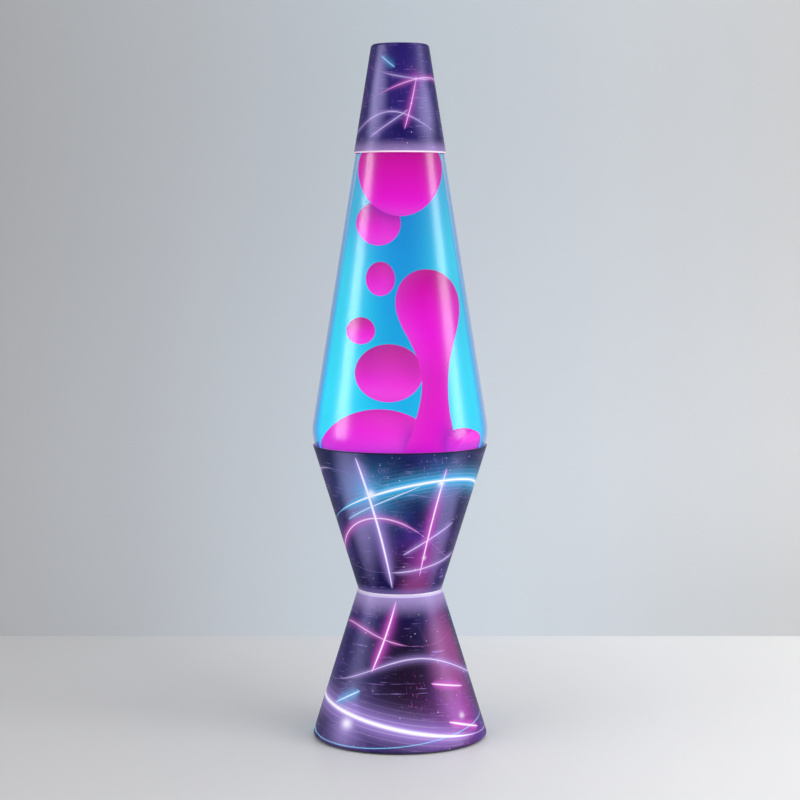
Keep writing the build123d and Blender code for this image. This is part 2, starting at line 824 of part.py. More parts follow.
# The liquid fills what the wax and the air at the top leave
with BuildPart() as liquid:
    revolve(bottle_inside(film, fill_z), axis=Axis.Z)
    with BuildSketch(Plane.XY.offset(pool_z + film)):
        Circle(2 * belly_r)
    extrude(amount=-belly_z, mode=Mode.SUBTRACT)
    add(drops(float_places, film), mode=Mode.SUBTRACT)
    add(drops(mound_places, film), mode=Mode.SUBTRACT)
    add(column(film), mode=Mode.SUBTRACT)
liquid.part.label = "liquid"
export_step(liquid.part, "parts/liquid.step")

# ---------------------------------------------------------------- cap

cap_in_top_z = cap_top_z - cap_sheet

with BuildPart() as cap_shell:
    with BuildSketch(Plane.XZ):
        with BuildLine():
            FilletPolyline(
                (0, cap_top_z),
                (cap_top_r, cap_top_z),
                (cap_lip_r, cap_z),
                (cap_lip_r - cap_run, cap_z),
                (cap_top_r + bottle_upper_taper * cap_sheet - cap_run, cap_in_top_z),
                (0, cap_in_top_z),
                radius=[0, cap_round, cap_sheet / 3, 0, cap_round - cap_sheet, 0],
                close=True,
            )
        make_face()
    revolve(axis=Axis.Z)
cap_shell.part.label = "cap_shell"
export_step(cap_shell.part, "parts/cap_shell.step")
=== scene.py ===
from functools import reduce
from math import cos, exp, pi, radians, sin, tan

import bmesh
import bpy
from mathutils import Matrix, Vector
from mathutils.bvhtree import BVHTree


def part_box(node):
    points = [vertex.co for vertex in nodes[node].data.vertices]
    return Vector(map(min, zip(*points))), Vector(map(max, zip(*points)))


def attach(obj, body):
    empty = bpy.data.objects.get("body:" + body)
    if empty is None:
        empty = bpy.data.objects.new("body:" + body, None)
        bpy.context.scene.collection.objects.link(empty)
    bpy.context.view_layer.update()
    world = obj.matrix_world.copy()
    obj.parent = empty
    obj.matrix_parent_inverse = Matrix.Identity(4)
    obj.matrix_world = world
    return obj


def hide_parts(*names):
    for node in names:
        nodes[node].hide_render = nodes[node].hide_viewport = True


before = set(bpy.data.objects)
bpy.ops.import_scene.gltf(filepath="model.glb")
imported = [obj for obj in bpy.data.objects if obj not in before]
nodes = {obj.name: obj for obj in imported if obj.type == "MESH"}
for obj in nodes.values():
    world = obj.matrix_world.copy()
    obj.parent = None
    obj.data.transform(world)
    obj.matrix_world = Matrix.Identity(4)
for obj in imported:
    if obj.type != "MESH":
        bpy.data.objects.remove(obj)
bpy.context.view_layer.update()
mm = 0.001
print("frame loaded:", len(nodes), "nodes")


class Wire:
    # a node's socket that takes part in Python expressions
    def __init__(self, tree, socket=None):
        self.tree = tree
        self.socket = socket

    def node(self, kind, settings=None, sockets=None, output=0):
        made = self.tree.nodes.new(kind)
        for key, value in (settings or {}).items():
            if key == "stops":
                ramp = made.color_ramp.elements
                while len(ramp) < len(value):
                    ramp.new(1.0)
                for stop, (place, colour) in zip(ramp, value):
                    stop.position = place
                    stop.color = colour
            else:
                setattr(made, key, value)
        for key, value in (sockets or {}).items():
            if isinstance(value, Wire):
                self.tree.links.new(value.socket, made.inputs[key])
            else:
                made.inputs[key].default_value = value
        return Wire(self.tree, made.outputs[output])

    def maths(self, operation, *terms):
        return self.node("ShaderNodeMath", {"operation": operation}, dict(enumerate(terms)))

    def __add__(self, other):
        return self.maths("ADD", self, other)

    __radd__ = __add__

    def __sub__(self, other):
        return self.maths("SUBTRACT", self, other)

    def __rsub__(self, other):
        return self.maths("SUBTRACT", other, self)

    def __mul__(self, other):
        return self.maths("MULTIPLY", self, other)

    __rmul__ = __mul__

    def __truediv__(self, other):
        return self.maths("DIVIDE", self, other)

    def __pow__(self, other):
        return self.maths("POWER", self, other)

    def __abs__(self):
        return self.maths("ABSOLUTE", self)

    def ease(self, low, high):
        # 0 at low, 1 at high, smooth between them; low may be the larger
        rising = low < high
        return self.node(
            "ShaderNodeMapRange",
            {"interpolation_type": "SMOOTHSTEP"},
            {
                "Value": self,
                "From Min": min(low, high),
                "From Max": max(low, high),
                "To Min": 0.0 if rising else 1.0,
                "To Max": 1.0 if rising else 0.0,
            },
        )

    def blend(self, first, second):
        # self is the share of the second colour
        return self.node("ShaderNodeMix", {"data_type": "RGBA"}, {0: self, 6: first, 7: second}, 2)

    def length(self, other):
        # of the line across a right angle between the two
        return self.maths("SQRT", self**2.0 + other**2.0)

    def larger(self, other):
        return self.maths("MAXIMUM", self, other)

    def vector(self, x=0.0, y=0.0, z=0.0):
        return self.node("ShaderNodeCombineXYZ", None, {0: x, 1: y, 2: z})


def ink(code, share=1.0):
    # a colour from its sRGB code, as the linear values that sockets take
    parts = [int(code[i : i + 2], 16) / 255 for i in (1, 3, 5)]
    linear = [c / 12.92 if c <= 0.04045 else ((c + 0.055) / 1.055) ** 2.4 for c in parts]
    return (*[c * share for c in linear], 1.0)


def newMaterial(name):
    made = bpy.data.materials.new(name)
    made.use_nodes = True
    tree = made.node_tree
    tree.nodes.clear()
    out = tree.nodes.new("ShaderNodeOutputMaterial")
    return made, Wire(tree), out


def finishMaterial(pen, out, surface):
    pen.tree.links.new(surface.socket, out.inputs["Surface"])


def objectHeight(pen, coords):
    return pen.node("ShaderNodeSeparateXYZ", None, {0: coords}, 2)


def noise(pen, coords, scale, detail, roughness=0.5):
    settings = {"Vector": coords, "Scale": scale, "Detail": detail, "Roughness": roughness}
    return pen.node("ShaderNodeTexNoise", None, settings)


def objectPlace(pen):
    # x, y and z of the point on the object, in millimetres
    coords = pen.node("ShaderNodeTexCoord", output=3)
    scaled = pen.node("ShaderNodeVectorMath", {"operation": "SCALE"}, {0: coords, "Scale": 1 / mm})
    split = pen.node("ShaderNodeSeparateXYZ", None, {0: scaled})
    return [Wire(pen.tree, split.socket.node.outputs[i]) for i in range(3)], scaled


def principled(pen, sockets):
    return pen.node("ShaderNodeBsdfPrincipled", None, sockets)


wear = {
    "grain": 60.0,  # clouds to a metre
    "fine": 18.0,  # grains to a cloud
    "clouds": (0.35, 0.68),
    "glossCloud": 0.6,  # of the roughness
    "glossGrain": 0.08,
    "bump": 0.15,
    "relief": 0.1 * mm,
}


def wearMaterial(name, base, dark, metallic, roughness):
    # a plain finish with the unevenness that a real one has: cloudy tone, fine grain, uneven gloss
    made, pen, out = newMaterial(name)
    coords = pen.node("ShaderNodeTexCoord", output=3)
    cloud = noise(pen, coords, wear["grain"], 4.0)
    grain = noise(pen, coords, wear["grain"] * wear["fine"], 2.0)
    uneven = (cloud - 0.5) * (roughness * wear["glossCloud"]) + (grain - 0.5) * wear["glossGrain"]
    relief = pen.node(
        "ShaderNodeBump",
        None,
        {"Strength": wear["bump"], "Distance": wear["relief"], "Height": grain},
    )
    sockets = {
        "Base Color": cloud.ease(*wear["clouds"]).blend(ink(base), ink(dark)),
        "Metallic": metallic,
        "Roughness": roughness + uneven,
        "Normal": relief,
    }
    finishMaterial(pen, out, principled(pen, sockets))
    return made


# Camera and stage

camera = {"lens": 95.175, "distance": 1.123, "height": 0.274, "tilt": 4.73}

cameraData = bpy.data.cameras.new("camera")
cameraData.lens = camera["lens"]
cameraData.sensor_width = 36.0
cameraData.clip_start = 0.05
cameraObject = bpy.data.objects.new("camera", cameraData)
cameraObject.location = (0, -camera["distance"], camera["height"])
cameraObject.rotation_euler = (radians(90 - camera["tilt"]), 0, 0)
bpy.context.scene.collection.objects.link(cameraObject)
bpy.context.scene.camera = cameraObject
bpy.context.scene.view_settings.view_transform = "Standard"

stage = {
    "wallPlace": 0.274,  # wall behind the lamp
    "reach": 3.0,
    "fade": 0.29,  # the tones, painted light darker at the left and lighter at the right, run from this far left to this far right
    "floorPaintedLightTones": ("#CACACB", "#D2D2D3", "#DBDCDE", "#EBEBEC", "#F2F2F1"),
    "wallPaintedLightTones": ("#B1B2B4", "#BFC4C9", "#C8D2DA", "#D2D8DD", "#D2D3D4"),
    "paintedShadeTop": 0.4,  # painted shade: the tones darken up to here and are darkest from here up
    "corner": 0.14,  # and painted shade darkens them below this, toward the right
    "right": (0.45, 1.0),
    "paintedCornerShadeShare": 0.6,
    "clouds": 3.0,
    "drift": 0.06,  # of the tones, by clouds
    "glossy": (0.2, 0.06),  # the gloss comes up from this far to this near the lamp
    "glossShare": 0.5,
    "level": 0.35,
    "world": 0.73,
    "worldTone": (1.0, 0.99, 0.98, 1.0),
}
black = (0, 0, 0, 1)


def stagePiece(name, corners, tones, roughness, shade):
    made, pen, out = newMaterial(name)
    coords = pen.node("ShaderNodeTexCoord", output=3)
    across = pen.node("ShaderNodeSeparateXYZ", None, {0: coords}) / (2 * stage["fade"]) + 0.5
    up = objectHeight(pen, coords)
    cloud = noise(pen, coords, stage["clouds"], 2.0)
    place = across + (cloud - 0.5) * stage["drift"]
    # painted light: the tones grow lighter from left to right
    stops = [(k / (len(tones) - 1), ink(tone)) for k, tone in enumerate(tones)]
    tone = pen.node("ShaderNodeValToRGB", {"stops": stops}, {0: place})
    # painted shade: the wall darkens toward its top
    tone = (up.ease(0.0, stage["paintedShadeTop"]) * shade).blend(tone, black)
    # painted shade in the wall's low right corner
    paintedLowRightShade = up.ease(stage["corner"], 0.0) * across.ease(*stage["right"])
    tone = (paintedLowRightShade * (shade * stage["paintedCornerShadeShare"])).blend(tone, black)
    matt = principled(pen, {"Base Color": tone, "Roughness": 1.0, "Specular IOR Level": 0.0})
    sheen = {"Base Color": tone, "Roughness": roughness, "Specular IOR Level": stage["level"]}
    shiny = principled(pen, sheen)
    far = pen.node("ShaderNodeVectorMath", {"operation": "LENGTH"}, {0: coords}, 1)
    share = far.ease(*stage["glossy"]) * stage["glossShare"]
    face = pen.node("ShaderNodeMixShader", None, {0: share, 1: matt, 2: shiny})
    back = pen.node("ShaderNodeNewGeometry", output="Backfacing")
    gone = pen.node("ShaderNodeBsdfTransparent")
    finishMaterial(pen, out, pen.node("ShaderNodeMixShader", None, {0: back, 1: face, 2: gone}))
    mesh = bpy.data.meshes.new(name)
    mesh.from_pydata(corners, [], [(0, 1, 2, 3)])
    mesh.materials.append(made)
    piece = bpy.data.objects.new(name, mesh)
    bpy.context.scene.collection.objects.link(piece)


reach = stage["reach"]
wallY = stage["wallPlace"]
stagePiece(
    "floor",
    [(-reach, -reach, 0), (reach, -reach, 0), (reach, wallY, 0), (-reach, wallY, 0)],
    stage["floorPaintedLightTones"],
    roughness=0.3,
    shade=0.0,
)
stagePiece(
    "wall",
    [(-reach, wallY, 0), (reach, wallY, 0), (reach, wallY, reach), (-reach, wallY, reach)],
    stage["wallPaintedLightTones"],
    roughness=0.6,
    shade=0.22,
)

world = bpy.data.worlds.new("studio")
world.use_nodes = True
sky = world.node_tree.nodes["Background"].inputs
sky["Color"].default_value = stage["worldTone"]
sky["Strength"].default_value = stage["world"]
bpy.context.scene.world = world

# The tall strips are there for their reflections, the other lamps for their light
lamps = {
    "stripLeft": {"place": (-0.80, -0.12, 0.42), "size": (0.28, 1.1), "power": 21.5, "shines": False},
    "stripRight": {"place": (0.80, -0.10, 0.42), "size": (0.26, 1.1), "power": 18.5, "shines": False},
    "key": {"place": (1.3, -1.0, 1.1), "size": (1.5, 1.5), "power": 19.0, "shines": True},
    "fill": {"place": (-1.2, -1.2, 0.7), "size": (1.5, 1.5), "power": 9.0, "shines": True},
}
lampAim = Vector((0, 0, 0.2))


def addLamp(name, place, size, power, shines):
    data = bpy.data.lights.new(name, "AREA")
    data.shape = "RECTANGLE"
    data.size, data.size_y = size
    data.energy = power
    made = bpy.data.objects.new(name, data)
    made.location = place
    made.rotation_euler = (lampAim - Vector(place)).to_track_quat("-Z", "Y").to_euler()
    made.visible_diffuse = shines
    made.visible_glossy = not shines
    bpy.context.scene.collection.objects.link(made)


for name, facts in lamps.items():
    addLamp(name, **facts)
print("camera, stage and lamps set")


# Mesh helpers


def roundCorners(points, radii, steps):
    # points of a line with its inner corners rounded
    rounded = [points[0]]
    for i in range(1, len(points) - 1):
        if not radii[i]:
            rounded.append(points[i])
            continue
        corner = Vector(points[i])
        back = (Vector(points[i - 1]) - corner).normalized()
        on = (Vector(points[i + 1]) - corner).normalized()
        half = back.angle(on) / 2
        cut = radii[i] / tan(half)
        middle = corner + (back + on).normalized() * (radii[i] / sin(half))
        start, end = corner + back * cut - middle, corner + on * cut - middle
        turn = start.angle(end)
        for k in range(steps + 1):
            part = k / steps
            swing = start * (sin((1 - part) * turn) / sin(turn)) + end * (sin(part * turn) / sin(turn))
            rounded.append(tuple(middle + swing))
    rounded.append(points[-1])
    return rounded


def addPiece(name, mesh, material, body, node, sharp=35.0):
    mesh.materials.clear()
    mesh.materials.append(material)
    for face in mesh.polygons:
        face.use_smooth = True
    mesh.set_sharp_from_angle(angle=radians(sharp))
    piece = bpy.data.objects.new(name, mesh)
    bpy.context.scene.collection.objects.link(piece)
    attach(piece, body)
    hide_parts(node)


def skin(shape, low, high):
    # faces between two rings, either of which may be a single point
    if len(low) == len(high) == 1:
        return
    sides = max(len(low), len(high))
    for k in range(sides):
        n = (k + 1) % sides
        if len(low) == 1:
            shape.faces.new((low[0], high[n], high[k]))
        elif len(high) == 1:
            shape.faces.new((low[k], low[n], high[0]))
        else:
            shape.faces.new((low[k], low[n], high[n], high[k]))


def threadCut(thread, radius, height, turn):
    # how deep a thread is at a point, fading out over its first and last turn
    if not thread["fromR"] <= radius <= thread["toR"]:
        return 0.0
    inset = min(height - thread["fromZ"], thread["toZ"] - height) / thread["pitch"]
    wave = 0.5 - 0.5 * cos(2 * pi * height / thread["pitch"] - turn)
    return thread["depth"] * min(1.0, max(0.0, inset)) * wave


def lathe(name, outline, sides, thread=None):
    # a closed outline of (radius, height) in millimetres, turned about the upright axis;
    # a thread is cut into what lies between its radii
    shape = bmesh.new()
    rings = []
    for radius, height in outline:
        if radius < 1e-4:
            rings.append([shape.verts.new((0, 0, height * mm))])
            continue
        ring = []
        for k in range(sides):
            turn = 2 * pi * k / sides
            size = radius - (threadCut(thread, radius, height, turn) if thread else 0)
            ring.append(shape.verts.new((size * mm * cos(turn), size * mm * sin(turn), height * mm)))
        rings.append(ring)
    pairs = list(zip(rings, rings[1:]))
    if outline[0][0] > 1e-4:
        pairs.append((rings[-1], rings[0]))
    for low, high in pairs:
        skin(shape, low, high)
    bmesh.ops.recalc_face_normals(shape, faces=shape.faces)
    mesh = bpy.data.meshes.new(name)
    shape.to_mesh(mesh)
    shape.free()
    return mesh


def evenSteps(start, end, step):
    # heights from start to end, both with them
    count = max(1, round(abs(end - start) / step))
    return [start + (end - start) * k / count for k in range(count + 1)]


def newTree(name, sizes):
    # a Geometry Nodes group with a number input for every size
    tree = bpy.data.node_groups.new(name, "GeometryNodeTree")
    for key in sizes:
        tree.interface.new_socket(key, in_out="INPUT", socket_type="NodeSocketFloat")
    tree.interface.new_socket("Geometry", in_out="OUTPUT", socket_type="NodeSocketGeometry")
    given = tree.nodes.new("NodeGroupInput")
    pen = Wire(tree)
    return pen, {key: Wire(tree, given.outputs[key]) for key in sizes}


def grow(pen, geometry, name, sizes, material):
    # the mesh that a tree makes for these sizes
    whole = pen.node("GeometryNodeRealizeInstances", None, {0: geometry})
    painted = pen.node("GeometryNodeSetMaterial", None, {0: whole, "Material": material})
    out = pen.tree.nodes.new("NodeGroupOutput")
    pen.tree.links.new(painted.socket, out.inputs[0])
    carrier = bpy.data.objects.new(name, bpy.data.meshes.new(name + "Start"))
    bpy.context.scene.collection.objects.link(carrier)
    modifier = carrier.modifiers.new(name, "NODES")
    modifier.node_group = pen.tree
    for item in pen.tree.interface.items_tree:
        if item.in_out == "INPUT":
            modifier[item.identifier] = float(sizes[item.name])
    carrier.update_tag()
    ready = carrier.evaluated_get(bpy.context.evaluated_depsgraph_get())
    mesh = bpy.data.meshes.new_from_object(ready)
    carrier.modifiers.remove(modifier)
    bpy.data.objects.remove(carrier)
    return mesh


# Printed metal: light trails over deep violet

printed = {
    "ground": "#0D0848",
    "haze": "#33227C",
    "mist": "#9488C6",
    "plum": "#12031F",
    "rose": "#9A4788",
    "white": "#F6F2FF",
    "cyan": "#3FB4EA",
    "pink": "#D65AD2",
    "lilac": "#A98AE0",
    "bare": "#C4C8CE",  # the metal inside
    "sheen": "#CFC6FF",
    "paintedGlow": 0.18,  # painted glow: the light parts of the print shine by this much
    "roughness": 0.42,
    "level": 0.14,
    "rough": 0.62,  # of its clouds
    "clouds": {"scale": 0.03, "shown": (0.46, 0.76)},
    "mists": {"scale": 0.1, "shown": (0.52, 0.8), "share": 0.28},
    "hazes": (1.0, 0.2),  # of their spread, from nothing to full
    "rows": {"squash": (0.07, 0.07, 1.5), "rare": (0.655, 0.70), "among": (0.42, 0.6), "share": 0.45},
    "falls": {"squash": (1.3, 1.3, 0.06), "rare": (0.66, 0.72), "among": (0.45, 0.6), "share": 0.3},
    "sparks": {"scale": 0.5, "size": (0.17, 0.06), "rare": (0.8, 0.95), "among": (0.4, 0.55)},
    "core": 2.4,  # how fast a light fades from its middle
    "halo": 0.8,  # and how fast the light round it does
    "haloShare": 0.9,
    "tip": 0.12,  # how thick a beam still is at its ends
    "seen": (-0.2, 0.7),  # a trail comes and goes round the piece
    "thin": 0.04,  # how thick it still is where it has gone
    "strands": {"widths": 1.6, "gap": 0.6, "sway": 3.0, "edge": (0.6, 1.0), "fade": 1.1, "share": 0.28},
    "wall": (0.26, 0.34),  # the print ends within this depth of the outside
}


def bareShare(pen, place, shell):
    # 1 on the inner faces of a shell, 0 on its printed ones; the shell is a cone closed at one end
    x, y, z = place
    slope = (shell["closedR"] - shell["openR"]) / (shell["closedZ"] - shell["openZ"])
    off = pen.maths("SQRT", x * x + y * y) - (z - shell["openZ"]) * slope - shell["openR"]
    out = 1.0 if shell["closedZ"] > shell["openZ"] else -1.0
    first = off + shell["round"]
    second = (z - shell["closedZ"]) * out + shell["round"]
    corner = first.larger(0.0).length(second.larger(0.0))
    depth = shell["round"] - corner - pen.maths("MINIMUM", first.larger(second), 0.0)
    fromHem = (z - shell["openZ"]) * out
    return depth.ease(*printed["wall"]) * fromHem.ease(shell["hem"] - 0.1, shell["hem"] + 0.1)


def dashes(pen, place, kind, ground):
    # fine dashes that run round the piece or up it
    squashed = pen.node("ShaderNodeVectorMath", {"operation": "MULTIPLY"}, {0: place, 1: kind["squash"]})
    rare = noise(pen, squashed, 1.0, 1.0, printed["rough"]).ease(*kind["rare"])
    return rare * ground.ease(*kind["among"]) * kind["share"]


def sparks(pen, place, kind, ground):
    # small dots of uneven brightness
    cells = {"Vector": place, "Scale": kind["scale"]}
    dots = pen.node("ShaderNodeTexVoronoi", None, cells).ease(*kind["size"])
    pick = pen.node("ShaderNodeTexVoronoi", None, cells, "Color")
    rare = pen.node("ShaderNodeSeparateColor", None, {0: pick}).ease(*kind["rare"])
    return dots * rare * ground.ease(*kind["among"])


def fromBeam(pen, across, up, start, end):
    # distance from a straight beam, larger toward its ends so that they fade
    dx, dz = end[0] - start[0], end[1] - start[1]
    square = dx * dx + dz * dz
    share = (across - start[0]) * (dx / square) + (up - start[1]) * (dz / square)
    along = pen.node("ShaderNodeClamp", None, {0: share})
    far = (across - start[0] - along * dx).length(up - start[1] - along * dz)
    return far / (1 - abs(along * 2 - 1) ** 4.0 + printed["tip"])


def strandsBeside(pen, off, width, halo, wave):
    # fine strands that run beside a trail
    kind = printed["strands"]
    count = 2 * pi / (width * kind["widths"] + kind["gap"])
    strands = pen.maths("COSINE", off * count + wave * kind["sway"]).ease(*kind["edge"])
    return strands * pen.maths("EXPONENT", abs(off) * (-kind["fade"] / halo)) * kind["share"]


# Places are millimetres across from the front and up from the piece's lower edge:
# trails: middle, swell, waves round, shift, width, halo, tone, power, where it is seen
# beams: start, end, width, halo, tone, power; flares: centre, width, halo, tone, power
# hazes: tone, centre, spread, share; edges: tone, height where it starts and is full, share
def printedMaterial(name, shell, meanR, trails, beams, flares, hazes, edges):
    made, pen, out = newMaterial(name)
    (x, y, z), place = objectPlace(pen)
    angle = pen.maths("ARCTAN2", x, y * -1)  # 0 at the front, half a turn at the back
    across = pen.maths("WRAP", angle, pi / 2, -pi / 2) * meanR  # the pattern comes twice round
    up = z - min(shell["openZ"], shell["closedZ"])

    clouds, mists = printed["clouds"], printed["mists"]
    cloud = noise(pen, place, clouds["scale"], 3.0, printed["rough"])
    mist = noise(pen, place, mists["scale"], 6.0, printed["rough"])
    colour = cloud.ease(*clouds["shown"]).blend(ink(printed["ground"]), ink(printed["haze"]))
    colour = (mist.ease(*mists["shown"]) * mists["share"]).blend(colour, ink(printed["lilac"]))
    for tone, centre, spread, share in hazes:
        far = ((across - centre[0]) / spread[0]).length((up - centre[1]) / spread[1])
        colour = (far.ease(*printed["hazes"]) * share).blend(colour, ink(printed[tone]))
    rows = dashes(pen, place, printed["rows"], mist)
    colour = rows.blend(colour, ink(printed["lilac"]))
    falls = dashes(pen, place, printed["falls"], cloud)
    colour = falls.blend(colour, ink(printed["pink"]))

    cores = []
    halos = {"lilac": [], "pink": [], "cyan": []}

    def addLight(far, width, halo, tone, power):
        cores.append(pen.maths("EXPONENT", (far / width) ** 2.0 * -printed["core"]) * power)
        soft = pen.maths("EXPONENT", (far * (printed["halo"] / halo)) ** 1.4 * -1)
        halos[tone].append(soft * (power * printed["haloShare"]))

    for start, end, width, halo, tone, power in beams:
        addLight(fromBeam(pen, across, up, start, end), width, halo, tone, power)
    for middle, swell, waves, shift, width, halo, tone, power, seen in trails:
        wave = pen.maths("SINE", angle * waves + shift)
        slope = pen.maths("COSINE", angle * waves + shift) * (swell * waves / meanR)
        off = (up - middle - wave * swell) / pen.maths("SQRT", slope * slope + 1)
        show = pen.maths("SINE", angle * seen[0] + seen[1]).ease(*printed["seen"])
        addLight(abs(off) / (show + printed["thin"]), width, halo, tone, power)
        cores.append(strandsBeside(pen, off, width, halo, wave) * show * power)
    for centre, width, halo, tone, power in flares:
        addLight((across - centre[0]).length(up - centre[1]), width, halo, tone, power)

    for tone, shine in halos.items():
        if shine:
            colour = reduce(Wire.larger, shine).blend(colour, ink(printed[tone]))
    core = reduce(Wire.larger, cores)
    colour = core.blend(colour, ink(printed["white"]))
    colour = sparks(pen, place, printed["sparks"], mist).blend(colour, ink(printed["white"]))
    for tone, start, end, share in edges:
        colour = (up.ease(start, end) * share).blend(colour, ink(tone))

    bare = bareShare(pen, (x, y, z), shell)
    colour = bare.blend(colour, ink(printed["bare"]))
    # painted glow: the print's light trails and cyan halos shine though it is no lamp
    paintedGlowShare = reduce(Wire.larger, [core, *halos["cyan"]]) * (1 - bare)
    sockets = {
        "Base Color": colour,
        "Metallic": bare,
        "Roughness": printed["roughness"] + (mist - 0.5) * 0.1,
        "Specular IOR Level": printed["level"],
        "Specular Tint": ink(printed["sheen"]),
        "Emission Color": (paintedGlowShare * printed["paintedGlow"]).blend(black, colour),
        "Emission Strength": 1.0,
    }
    finishMaterial(pen, out, principled(pen, sockets))
    return made


def dress(node, material):
    for holder in nodes[node].material_slots:
        holder.material = material


# Outside radius and height at the open and the closed end, rounding of the closed end's edge,
# and how far in from the open end the print goes
shells = {
    "cap": {
        "openR": 24.33,
        "openZ": 311.55,
        "closedR": 15.14,
        "closedZ": 368.55,
        "round": 2.0,
        "hem": 0.0,
    },
    "cup": {
        "openR": 46.45,
        "openZ": 157.5,
        "closedR": 22.4,
        "closedZ": 80.2,
        "round": 0.6,
        "hem": 0.0,
    },
    "cone": {
        "openR": 47.1,
        "openZ": 0.8,
        "closedR": 22.7,
        "closedZ": 79.4,
        "round": 0.6,
        "hem": 3.2,
    },
}

capPrint = printedMaterial(
    "capPrint",
    shells["cap"],
    19.0,
    trails=[
        (30, 9, 1, 0.6, 0.24, 1.0, "pink", 0.5, (1, 0.5)),
        (15, 6, 2, 2.0, 0.22, 0.8, "lilac", 0.45, (1, 2.4)),
        (43, 5, 1, 4.0, 0.2, 0.8, "lilac", 0.4, (2, 1.0)),
    ],
    beams=[
        ((-12, 50), (-3, 44), 0.3, 1.2, "cyan", 0.45),
        ((2, 12), (9, 38), 0.3, 1.2, "pink", 0.5),
        ((-14, 8), (4, 22), 0.25, 0.9, "lilac", 0.45),
    ],
    flares=[((9, 38), 1.2, 2.6, "pink", 0.4)],
    hazes=[
        ("haze", (0, 34), (34, 44), 0.42),
        # painted sheen: the two mist bands stand in for reflections of the tall strip lamps
        ("mist", (-12, 30), (7, 34), 0.45),
        ("mist", (13, 22), (9, 22), 0.35),
        ("ground", (0, 14), (9, 9), 0.6),
    ],
    edges=[("#B79ADB", 8.0, 0.0, 0.55), ("#F3D9EC", 1.1, 0.5, 1.0)],
)
cupPrint = printedMaterial(
    "cupPrint",
    shells["cup"],
    34.0,
    trails=[
        (46, 16, 1, 0.9, 0.9, 3.6, "cyan", 1.0, (1, 0.9)),
        (30, 12, 2, 2.2, 0.45, 1.6, "pink", 0.85, (1, 2.9)),
        (20, 8, 1, 5.0, 0.35, 1.2, "lilac", 0.7, (2, 0.4)),
        (60, 7, 2, 3.6, 0.35, 1.3, "lilac", 0.7, (1, 4.2)),
    ],
    beams=[
        ((-18, 74), (-6, 4), 0.8, 2.6, "lilac", 1.0),
        ((20, 68), (14, 10), 0.5, 2.0, "pink", 0.9),
        ((-30, 40), (10, 60), 0.35, 1.2, "cyan", 0.7),
        ((2, 22), (32, 38), 0.35, 1.2, "lilac", 0.7),
    ],
    flares=[
        ((-13.5, 55), 3.4, 8.0, "cyan", 0.85),
        ((18.5, 60.5), 2.6, 6.0, "cyan", 0.75),
        ((15.5, 20), 1.8, 6.0, "pink", 0.6),
    ],
    hazes=[
        # painted sheen: the two mist bands stand in for reflections of the tall strip lamps
        ("mist", (-22, 48), (12, 52), 0.7),
        ("mist", (25, 40), (10, 48), 0.45),
        ("rose", (12, 2), (20, 20), 0.6),
        ("ground", (2, 58), (16, 26), 0.7),
        ("plum", (-2, 14), (12, 14), 0.6),
    ],
    edges=[("#1B1030", 76.3, 76.9, 1.0), ("#8E7CC4", 4.5, 0.0, 0.5)],
)
conePrint = printedMaterial(
    "conePrint",
    shells["cone"],
    34.0,
    trails=[
        (14, 9, 1, 3.4, 1.5, 4.6, "lilac", 1.0, (1, 2.2)),
        (9, 7, 1, 5.4, 1.2, 4.4, "cyan", 1.0, (1, 4.6)),
        (40, 7, 2, 1.0, 0.35, 1.3, "lilac", 0.6, (1, 1.0)),
        (58, 5, 2, 4.0, 0.3, 1.1, "pink", 0.6, (2, 3.0)),
    ],
    beams=[
        ((-3, 76), (-15, 40), 0.6, 2.0, "pink", 0.9),
        ((16, 34), (36, 30), 0.5, 1.6, "pink", 0.8),
        ((-34, 22), (-20, 30), 0.5, 1.6, "cyan", 0.7),
        ((22, 14), (40, 8), 0.7, 2.6, "pink", 0.9),
    ],
    flares=[
        ((-24, 13), 4.2, 8.0, "lilac", 0.75),
        ((30, 16), 2.4, 9.0, "pink", 0.5),
    ],
    hazes=[
        ("plum", (3, 34), (26, 50), 1.0),
        # painted sheen: the rose band at the right stands in for a reflection
        ("rose", (31, 46), (20, 40), 0.75),
        ("ground", (-32, 50), (16, 40), 0.7),
    ],
    # the pale line at the top edge is a painted highlight on the shoulder
    edges=[("#BCA6E4", 66.0, 78.6, 0.62), ("#D9CCF2", 77.2, 78.2, 0.8)],
)
dress("cap_shell", capPrint)
dress("base_cup", cupPrint)
dress("base_cone", conePrint)
print("printed metal done")


# Glass, liquid and wax

bottle = {
    "footR": 36.15,
    "footZ": 128.05,
    "bellyR": 47.257,
    "bellyZ": 163.75,
    "shoulderR": 19.8,
    "shoulderZ": 334.05,
    "neckR": 12.2,
    "neckZ": 339.05,
    "finishR": 13.3,
    "finishZ": 344.05,
    "finishBevel": 1.0,
    "topZ": 349.45,
    "boreR": 8.0,
    "run": 2.095,  # thickness of the glass, measured level
    "floor": 3.0,
    "heel": 5.0,
    "belly": 24.0,
    "shoulder": 5.0,
    "neck": 3.0,
    "inner": 2.0,  # the roundings inside are this much smaller
    "steps": 14,  # to a rounding
    "sides": 256,
    "edge": "#84C6FF",  # what light becomes that grazes the wall
    "roughness": 0.25,
    "bend": 1.25,
}
edgeOn = (0.54, 0.73)  # the edge tone comes in as glass is looked through at a slant


